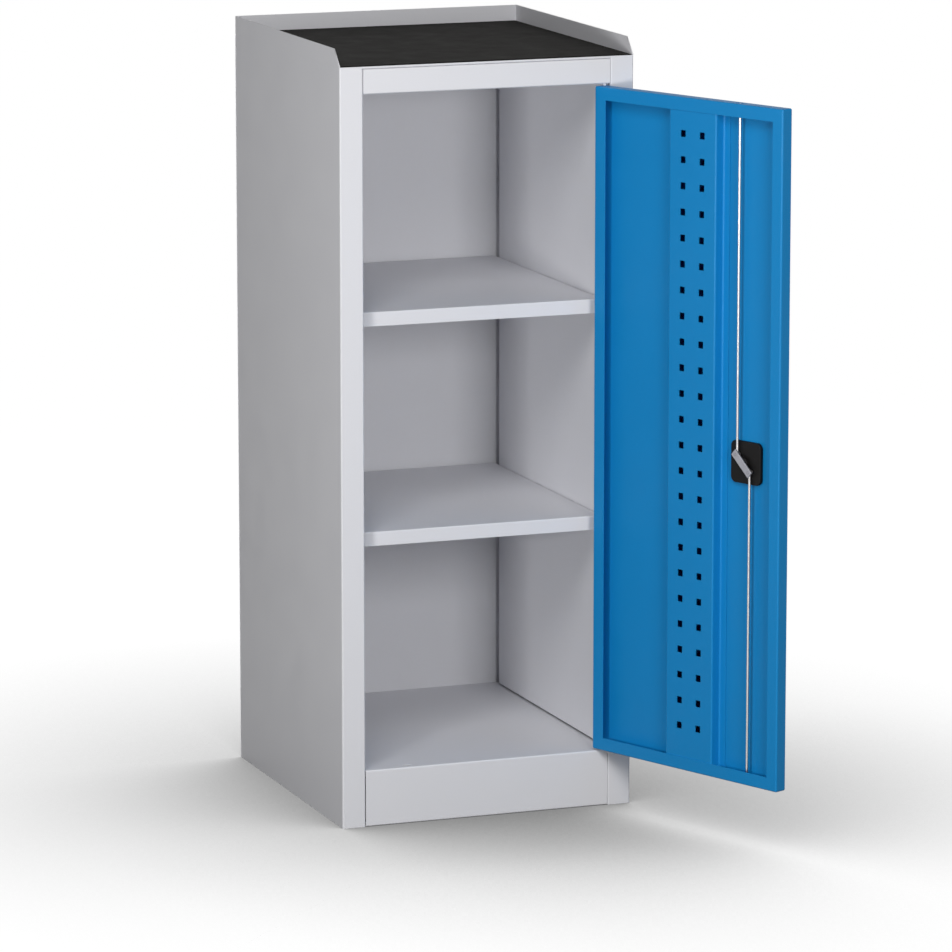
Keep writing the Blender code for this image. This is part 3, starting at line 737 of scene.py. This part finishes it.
@dataclass(frozen=True)
class Shelf:
    """Shelf folded down all round, with round corners and a notch over each of its pegs."""

    carcass: Carcass
    level: str
    top: float
    fold: float = 0.021
    side_gap: float = 0.001
    front: float = 0.025
    back_gap: float = 0.004
    corner: float = 0.009
    corner_steps: int = 8
    peg_from_end: float = 0.060
    peg_drop: float = 0.012
    peg_radius: float = 0.004
    notch_half: float = 0.0045
    cut_extra: float = 0.002
    metal: SheetMetal = SheetMetal(0.001, 0.002, 0.0002, 4)

    def build(self) -> None:
        """Build and dress the shelf."""
        half = self.carcass.opening - self.side_gap
        back = self.carcass.side_rear - self.back_gap
        middle = (self.front + back) / 2
        outline = rounded_outline(half, (back - self.front) / 2, self.corner, self.corner_steps)
        count = len(outline)
        points = [(x, middle + y, z) for z in (self.top, self.top - self.fold) for x, y in outline]
        faces = [tuple(range(count))]
        for number in range(count):
            following = (number + 1) % count
            faces.append((number, count + number, count + following, following))
        piece = self.metal.pan(f"{self.level}_shelf_sheet", points, faces, self.carcass.place)
        notches = []
        for side in (-1, 1):
            for depth in (self.front + self.peg_from_end, back - self.peg_from_end):
                reach = self.metal.wall + self.cut_extra
                low = (side * half - reach, depth - self.notch_half, self.top - self.fold - self.cut_extra)
                high = (side * half + reach, depth + self.notch_half,
                        self.top - self.peg_drop + self.peg_radius + self.carcass.seat)
                notches.append(add_piece("notch", box_shape(low, high), self.carcass.place))
        cut_and_settle(piece, notches)
        dress(piece, "carcass", LIGHT_GREY_POWDER_COAT, (f"{self.level}_shelf",))


@dataclass(frozen=True)
class Door:
    """Tray-shaped door with its perforated channel, drawn shut from the hinge axis."""

    carcass: Carcass
    rest_angle: float = math.radians(113.0)
    thickness: float = 0.020
    side_gap: float = 0.0025
    end_gap: float = 0.003
    lip: float = 0.0195
    hinge_lip: float = 0.022
    pivot_inset: float = 0.005
    pivot_depth: float = 0.00475
    pin_radius: float = 0.0025
    hook_side: float = 0.010
    hook_corner: float = 0.0006
    hook_pitch: float = 0.038
    hook_first_row: float = 0.053
    hook_last_row_least: float = 0.050
    channel_face: float = 0.094
    channel_flange: float = 0.012
    channel_to_lock: float = 0.0115
    metal: SheetMetal = SheetMetal()
    finish: Finish = BLUE_POWDER_COAT

    @property
    def bottom(self) -> float:
        """Level of the door's lower edge."""
        return self.carcass.plinth + self.end_gap

    @property
    def top(self) -> float:
        """Level of the door's upper edge."""
        return self.carcass.rail_bottom - self.end_gap

    @property
    def pivot(self) -> Pair:
        """The hinge axis, across and behind the front plane."""
        return self.carcass.opening - self.side_gap - self.pivot_inset, self.pivot_depth

    @property
    def free_edge(self) -> float:
        """The free edge, across from the hinge axis."""
        return self.pivot_inset - 2 * (self.carcass.opening - self.side_gap)

    @property
    def place(self) -> Matrix:
        """Where the door's own axes lie at rest."""
        hinge = Matrix.Translation((self.pivot[0], self.carcass.front + self.pivot[1], 0))
        return hinge @ Matrix.Rotation(self.rest_angle, 4, "Z")

    def build(self, lock: "RodLock") -> None:
        """Build and dress the door's sheets.

        Args:
            lock: The lock, which gives the places of its bore and its rods.
        """
        self._shell(lock)
        self._channel(lock)

    def _shell(self, lock: "RodLock") -> None:
        """Fold the skin, its four edges and four lips, and cut the holes of the hinge and the lock.

        Args:
            lock: The lock, which gives the places of its bore and its rods.
        """
        outer = -self.pivot_depth
        inner = self.thickness - self.pivot_depth
        corners = ((self.free_edge, self.bottom), (self.pivot_inset, self.bottom),
                   (self.pivot_inset, self.top), (self.free_edge, self.top))
        points = [(x, outer, z) for x, z in corners] + [(x, inner, z) for x, z in corners]
        lips = ((self.lip, self.lip), (-self.hinge_lip, self.lip), (-self.hinge_lip, -self.lip),
                (self.lip, -self.lip))
        points += [(x + right, inner, z + up) for (x, z), (right, up) in zip(corners, lips)]
        faces = [(0, 1, 2, 3)]
        for number in range(4):
            following = (number + 1) % 4
            faces.append((following, number, 4 + number, 4 + following))
            faces.append((4 + following, 4 + number, 8 + number, 8 + following))
        shell = self.metal.round_edges(self.metal.pan("door_sheet", points, faces, self.place))
        cutters = []
        for level, way in ((self.top, 1), (self.bottom, -1)):
            rod = (lock.rod_across(way), lock.rod_depth - self.pivot_depth)
            cutters += self.carcass.pin_and_rod_cutters((0, 0), rod, level, self.pin_radius, self.place)
        tall = 4 * self.metal.wall
        bore = cylinder_shape(lock.bore, -tall, tall, (0, 1, 0))
        cutters.append(add_piece("spindle_bore", bore, lock.place))
        dress(cut_and_settle(shell, cutters), "door", self.finish, ("door_shell",))

    def _channel(self, lock: "RodLock") -> None:
        """Fold the hat channel and cut its two columns of square hook holes.

        Args:
            lock: The lock, which the channel stands beside.
        """
        seat = self.carcass.seat
        base = 2 * self.metal.wall + seat - self.pivot_depth
        face = self.thickness - self.metal.wall - seat - self.pivot_depth
        half = self.channel_face / 2
        centre = lock.across + lock.housing_width / 2 + self.channel_to_lock + self.channel_flange + half
        path = [(centre + half + self.channel_flange, base), (centre + half, base), (centre + half, face),
                (centre - half, face), (centre - half, base), (centre - half - self.channel_flange, base)]
        low = self.bottom + self.metal.bend + seat
        high = self.top - self.metal.bend - seat
        channel = self.metal.strip("channel_sheet", path, Sweep.Z, low, high, self.place)
        self.metal.round_edges(channel)
        height = self.top - self.bottom
        rows = 1 + int((height - self.hook_first_row - self.hook_last_row_least) / self.hook_pitch)
        square = rounded_outline(self.hook_side / 2, self.hook_side / 2, self.hook_corner, 3)
        reach = 3 * self.metal.wall
        holes = []
        for row in range(rows):
            level = self.top - self.hook_first_row - row * self.hook_pitch
            for column in (-0.5, 0.5):
                spot = Matrix.Translation((centre + column * self.hook_pitch, face, level))
                holes.append(add_piece("hook_hole", prism_shape(square, -reach, reach), self.place @ spot))
        with bpy.context.temp_override(active_object=holes[0], selected_editable_objects=holes):
            bpy.ops.object.join()
        dress(cut_and_settle(channel, holes[:1]), "door", self.finish, ("tool_channel",))


@dataclass(frozen=True)
class RodLock:
    """Rod lock: housing, lever and rods inside, rosette, knob and key plug outside."""

    door: Door
    from_free_edge: float = 0.079
    from_bottom: float = 0.473
    housing_width: float = 0.059
    housing_height: float = 0.062
    housing_depth: float = 0.006
    housing_corner: float = 0.009
    housing_edge: float = 0.0012
    collar_radius: float = 0.0085
    collar_edge: float = 0.0008
    lever_arm: float = 0.017
    lever_length: float = 0.045
    lever_width: float = 0.0115
    lever_thickness: float = 0.0024
    lever_edge: float = 0.0004
    lever_angle: float = math.radians(47.0)
    rod_radius: float = 0.002
    rod_eye: float = 0.0038
    rod_taper: float = 0.004
    rod_lift: float = 0.0022
    rod_pin: float = 0.0018
    spindle_side: float = 0.008
    rosette_radius: float = 0.030
    rosette_face: float = 0.0246
    rosette_depth: float = 0.005
    knob_length: float = 0.054
    knob_width: float = 0.022
    knob_depth: float = 0.022
    knob_edge: float = 0.003
    plug_radius: float = 0.0065
    plug_depth: float = 0.009
    plug_proud: float = 0.0005
    key_slot: Triple = (0.0014, 0.005, 0.008)
    corner_steps: int = 8

    @property
    def across(self) -> float:
        """The spindle's axis, across from the hinge axis."""
        return self.door.free_edge + self.from_free_edge

    @property
    def level(self) -> float:
        """Height of the spindle's axis."""
        return self.door.bottom + self.from_bottom

    @property
    def place(self) -> Matrix:
        """Where the lock's own axes lie: on the spindle's axis, in the door's outer face."""
        return self.door.place @ Matrix.Translation((self.across, -self.door.pivot_depth, self.level))

    @property
    def turned_place(self) -> Matrix:
        """Where the axes of the turning pieces lie at rest."""
        return self.place @ Matrix.Rotation(self.lever_angle, 4, "Y")

    @property
    def seat(self) -> float:
        """Gap between pieces that touch."""
        return self.door.carcass.seat

    @property
    def bore(self) -> float:
        """Radius of the bore that the square spindle turns in."""
        return self.spindle_side / math.sqrt(2) + self.seat

    @property
    def housing_face(self) -> float:
        """The housing's face, from the door's outer face."""
        return self.door.metal.wall + self.seat + self.housing_depth

    @property
    def rod_depth(self) -> float:
        """The rods' axes, from the door's outer face."""
        return self.housing_face + self.rod_lift + self.rod_radius

    @property
    def lever_back(self) -> float:
        """The lever's back, from the door's outer face."""
        return self.rod_depth + self.rod_radius + self.seat

    def rod_across(self, way: int) -> float:
        """Where a rod runs, across from the hinge axis: the upper one for 1, the lower one for -1."""
        return self.across + way * self.lever_arm * math.sin(self.lever_angle)

    def build(self) -> None:
        """Build and dress the lock."""
        self._housing()
        self._lever()
        for node, way in (("upper_rod", 1), ("lower_rod", -1)):
            self._rod(node, way)
        self._rosette()
        self._knob()

    def _housing(self) -> None:
        """Mould the flat housing with a collar round its bore."""
        outline = rounded_outline(self.housing_width / 2, self.housing_height / 2, self.housing_corner,
                                  self.corner_steps)
        shape = prism_shape(outline, self.housing_face - self.housing_depth, self.housing_face)
        housing = soften(add_piece("moulded_housing", shape, self.place), self.housing_edge, 4)
        low = self.housing_face / 2
        top = self.lever_back - self.seat
        rim = self.collar_radius - self.collar_edge
        profile = [(0, low), (self.collar_radius, low), (self.collar_radius, top - self.collar_edge),
                   (rim, top), (0, top)]
        collar = add_piece("housing_collar", turned_shape(profile, (0, 1, 0)), self.place)
        bore = cylinder_shape(self.bore, -self.housing_face, 2 * top, (0, 1, 0))
        cut_and_settle(housing, [add_piece("housing_bore", bore, self.place)], (collar,))
        dress(housing, "door", BLACK_POLYAMIDE, ("lock_housing",))

    def _lever(self) -> None:
        """Stamp the lever, with a hole for a rod pin at each end."""
        back = self.lever_back
        face = back + self.lever_thickness
        shape = box_shape((-self.lever_width / 2, back, -self.lever_length / 2),
                          (self.lever_width / 2, face, self.lever_length / 2))
        lever = soften(add_piece("stamped_lever", shape, self.turned_place), self.lever_edge)
        holes = []
        for way in (1, -1):
            hole = cylinder_shape(self.rod_pin + self.seat, back - self.lever_thickness,
                                  face + self.lever_thickness, (0, 1, 0), (0, 0, way * self.lever_arm))
            holes.append(add_piece("pin_hole", hole, self.turned_place))
        dress(cut_and_settle(lever, holes), "lock_shaft", DULL_ZINC, ("lock_lever",))

    def _rod(self, node: str, way: int) -> None:
        """Draw a rod with a flat eye on its lever pin and a tapered tip.

        Args:
            node: The solid that it stands for.
            way: 1 for the upper rod, -1 for the lower one.
        """
        place = self.turned_place @ Matrix.Translation((0, 0, way * self.lever_arm))
        place = place @ Matrix.Rotation(-self.lever_angle, 4, "Y")
        edge = self.door.top if way > 0 else self.door.bottom
        length = abs(edge - self.level) - self.lever_arm * math.cos(self.lever_angle)
        start = self.rod_eye / 2
        profile = [(0, start), (self.rod_radius, start), (self.rod_radius, length - self.rod_taper),
                   (self.rod_radius / 2, length), (0, length)]
        shape = turned_shape(profile, (0, 0, way), (0, self.rod_depth, 0), 24)
        rod = add_piece(f"drawn_{node}", shape, place)
        shape = cylinder_shape(self.rod_eye, self.rod_depth - self.rod_radius,
                               self.rod_depth + self.rod_radius, (0, 1, 0))
        eye = add_piece("rod_eye", shape, place)
        hole = cylinder_shape(self.rod_pin + self.seat, 0, 2 * self.rod_depth, (0, 1, 0))
        cut_and_settle(rod, [add_piece("rod_eye_hole", hole, place)], (eye,))
        dress(rod, node, BRIGHT_ZINC, (node,))

    def _rosette(self) -> None:
        """Turn the rosette, with a low step round its rim."""
        back = -self.seat
        face = back - self.rosette_depth
        step = self.rosette_depth / 4
        inner = self.rosette_face
        rim = self.rosette_radius
        profile = [(0, face), (inner, face), (inner + step, face + step), (rim - step, face + step),
                   (rim, face + 2 * step), (rim, back), (0, back)]
        rosette = add_piece("moulded_rosette", turned_shape(profile, (0, 1, 0), steps=96), self.place)
        soften(rosette, step / 2, 2, 30.0)
        bore = cylinder_shape(self.bore, 2 * face, -face, (0, 1, 0))
        cut_and_settle(rosette, [add_piece("rosette_bore", bore, self.place)])
        dress(rosette, "door", BLACK_POLYAMIDE, ("handle_rosette",))

    def _knob(self) -> None:
        """Mould the knob with its bore, and turn the key plug."""
        back = -2 * self.seat - self.rosette_depth
        face = back - self.knob_depth
        end = self.knob_width / 2
        outline = rounded_outline(end, self.knob_length / 2, end - self.seat, 2 * self.corner_steps)
        knob = add_piece("moulded_knob", prism_shape(outline, back, face), self.turned_place)
        soften(knob, self.knob_edge, 6)
        floor = face + self.plug_depth
        bore = cylinder_shape(self.plug_radius + self.seat, face - self.plug_depth, floor + self.seat,
                              (0, 1, 0))
        half = self.spindle_side / 2 + self.seat
        socket = box_shape((-half, back - self.spindle_side - self.seat, -half), (half, -back, half))
        cut_and_settle(knob, [add_piece("plug_bore", bore, self.turned_place),
                              add_piece("spindle_socket", socket, self.turned_place)])
        dress(knob, "lock_shaft", BLACK_POLYAMIDE, ("turn_knob",))
        front = face - self.plug_proud
        rim = self.plug_proud
        profile = [(0, front), (self.plug_radius - rim, front), (self.plug_radius, front + rim),
                   (self.plug_radius, floor), (0, floor)]
        plug = add_piece("turned_plug", turned_shape(profile, (0, 1, 0)), self.turned_place)
        wide, deep, tall = self.key_slot
        slot = box_shape((-wide / 2, front - deep, -tall / 2), (wide / 2, front + deep, tall / 2))
        cut_and_settle(plug, [add_piece("key_slot", slot, self.turned_place)])
        dress(plug, "key_plug", BRIGHT_NICKEL, ("lock_plug",))


@dataclass(frozen=True)
class Lamp:
    """A square soft light that looks at the cabinet.

    It hangs so many degrees left of the front, at a distance and a height, with a side in metres and a
    power in watts. A lamp that isn't mirrored lights a surface and doesn't show in its gloss.
    """

    name: str
    left: float
    distance: float
    height: float
    side: float
    power: float
    mirrored: bool = True
    target: Triple = (0.0, 0.1, 0.6)

    def build(self) -> None:
        """Hang the light, out of the camera's sight."""
        light = bpy.data.lights.new(self.name, "AREA")
        light.shape = "SQUARE"
        light.size = self.side
        light.energy = self.power
        left = math.radians(self.left)
        lamp = bpy.data.objects.new(self.name, light)
        lamp.location = (-self.distance * math.sin(left), -self.distance * math.cos(left), self.height)
        lamp.rotation_euler = (lamp.location - Vector(self.target)).to_track_quat("Z", "Y").to_euler()
        lamp.visible_camera = False
        lamp.visible_glossy = self.mirrored
        bpy.context.scene.collection.objects.link(lamp)
        LOG.info("%s hangs %.0f degrees left of the front", self.name, self.left)


@dataclass(frozen=True)
class Studio:
    """White studio: floor, faint light all round, soft lamps and the camera.

    The floor glows white where it is seen, and the glow fades where the cabinet closes it in within the
    shadow's reach: a painted shadow drawn from ambient occlusion. Its paint has one colour where it is seen
    and one for the light that it throws on the cabinet.
    """

    floor_half: float = 60.0
    floor_colour: str = "#1C1C1C"
    floor_bounce: str = "#303030"
    shadow_reach: float = 0.85
    shadow_depth: float = 1.5
    sky: float = 0.02
    lens_pixels: float = 5716.9
    picture_pixels: float = 952.0
    sensor_mm: float = 36.0
    camera_place: Triple = (-2.9008, -7.7257, 2.0983)
    camera_yaw: float = math.radians(20.491)
    camera_pitch: float = math.radians(10.885)
    # The right and the rear lamp light the sides that face away from the camera
    lamps: tuple[Lamp, ...] = (
        Lamp("front_lamp", -1.0, 2.8, 1.2, 0.8, 30.0),
        Lamp("left_lamp", 48.0, 2.8, 0.7, 0.45, 27.0),
        Lamp("high_lamp", 30.0, 2.4, 2.8, 1.3, 36.0),
        Lamp("side_lamp", 80.0, 3.5, 1.2, 2.0, 7.0),
        Lamp("right_lamp", -118.0, 3.0, 1.2, 1.2, 52.0, mirrored=False),
        Lamp("rear_lamp", -170.0, 3.0, 1.2, 1.2, 32.0, mirrored=False),
    )

    def build(self) -> None:
        """Build the studio."""
        self._floor()
        self._sky()
        for lamp in self.lamps:
            lamp.build()
        self._camera()
        bpy.context.scene.view_settings.view_transform = "Standard"

    def _seen(self, tree: bpy.types.NodeTree) -> bpy.types.NodeSocket:
        """Tell rays that show the background from rays that light the cabinet.

        Args:
            tree: The node tree that asks.

        Returns:
            1 for camera, glossy and transmission rays, 0 for others.
        """
        path = add_node(tree, "ShaderNodeLightPath")
        some = add_node(tree, "ShaderNodeMath", {"operation": "MAXIMUM"},
                        {0: path.outputs["Is Camera Ray"], 1: path.outputs["Is Glossy Ray"]})
        return add_node(tree, "ShaderNodeMath", {"operation": "MAXIMUM"},
                        {0: some.outputs["Value"], 1: path.outputs["Is Transmission Ray"]}).outputs["Value"]

    def _floor(self) -> None:
        """Lay a pale floor that glows white, with a painted shadow where the cabinet closes it in."""
        shape = bmesh.new()
        bmesh.ops.create_grid(shape, x_segments=1, y_segments=1, size=self.floor_half)
        floor = add_piece("studio_floor", shape, Matrix.Identity(4))
        material = bpy.data.materials.new("matt_studio_floor")
        material.use_nodes = True
        tree = material.node_tree
        tree.nodes.clear()
        seen = self._seen(tree)
        tint = add_node(tree, "ShaderNodeMix", {"data_type": "RGBA", 6: linear_colour(self.floor_bounce),
                                                7: linear_colour(self.floor_colour)}, {0: seen})
        paint = add_node(tree, "ShaderNodeBsdfDiffuse", None, {"Color": tint.outputs[2]})
        # The glow fades with ambient occlusion near the cabinet: a painted shadow on the floor, not one
        # cast by the lamps
        open_sky = add_node(tree, "ShaderNodeAmbientOcclusion", {"Distance": self.shadow_reach})
        painted_shadow = add_node(tree, "ShaderNodeMath", {"operation": "POWER", 1: self.shadow_depth},
                        {0: open_sky.outputs["AO"]})
        glow = add_node(tree, "ShaderNodeMath", {"operation": "MULTIPLY"},
                        {0: seen, 1: painted_shadow.outputs["Value"]})
        light = add_node(tree, "ShaderNodeEmission", None, {"Strength": glow.outputs["Value"]})
        both = add_node(tree, "ShaderNodeAddShader", None,
                        {0: paint.outputs["BSDF"], 1: light.outputs["Emission"]})
        add_node(tree, "ShaderNodeOutputMaterial", None, {"Surface": both.outputs["Shader"]})
        floor.data.materials.append(material)

    def _sky(self) -> None:
        """Set an even light all round, and a white background where it is seen."""
        world = bpy.data.worlds.new("white_studio")
        bpy.context.scene.world = world
        world.use_nodes = True
        tree = world.node_tree
        tree.nodes.clear()
        strength = add_node(tree, "ShaderNodeMapRange", {"To Min": self.sky, "To Max": 1.0},
                            {"Value": self._seen(tree)})
        sky = add_node(tree, "ShaderNodeBackground", None, {"Strength": strength.outputs["Result"]})
        add_node(tree, "ShaderNodeOutputWorld", None, {"Surface": sky.outputs["Background"]})

    def _camera(self) -> None:
        """Set the camera up at the viewing angle."""
        lens = bpy.data.cameras.new("studio_camera")
        lens.sensor_width = self.sensor_mm
        lens.lens = self.lens_pixels * self.sensor_mm / self.picture_pixels
        lens.clip_end = 4 * self.floor_half
        camera = bpy.data.objects.new("studio_camera", lens)
        camera.location = self.camera_place
        camera.rotation_euler = (math.pi / 2 - self.camera_pitch, 0.0, -self.camera_yaw)
        bpy.context.scene.collection.objects.link(camera)
        bpy.context.scene.camera = camera


def dress_kept_solids() -> None:
    """Give the solids that stay their finishes."""
    for finish, nodes in KEPT_SOLIDS.items():
        for node in nodes:
            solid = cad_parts[node]
            solid.data.materials.clear()
            solid.data.materials.append(finish.material())
            LOG.info("%s stays in %s", node, finish.name)


def main() -> None:
    """Build the cabinet and its studio."""
    logging.basicConfig(level=logging.INFO, format="%(message)s")
    carcass = Carcass()
    door = Door(carcass)
    lock = RodLock(door)
    rods = tuple((door.pivot[0] + lock.rod_across(way), lock.rod_depth) for way in (1, -1))
    carcass.build(door.pivot, rods, door.pin_radius)
    TopTray(carcass).build()
    for level, top in SHELF_TOPS.items():
        Shelf(carcass, level, top).build()
    door.build(lock)
    lock.build()
    dress_kept_solids()
    Studio().build()


if __name__ == "__main__":
    main()
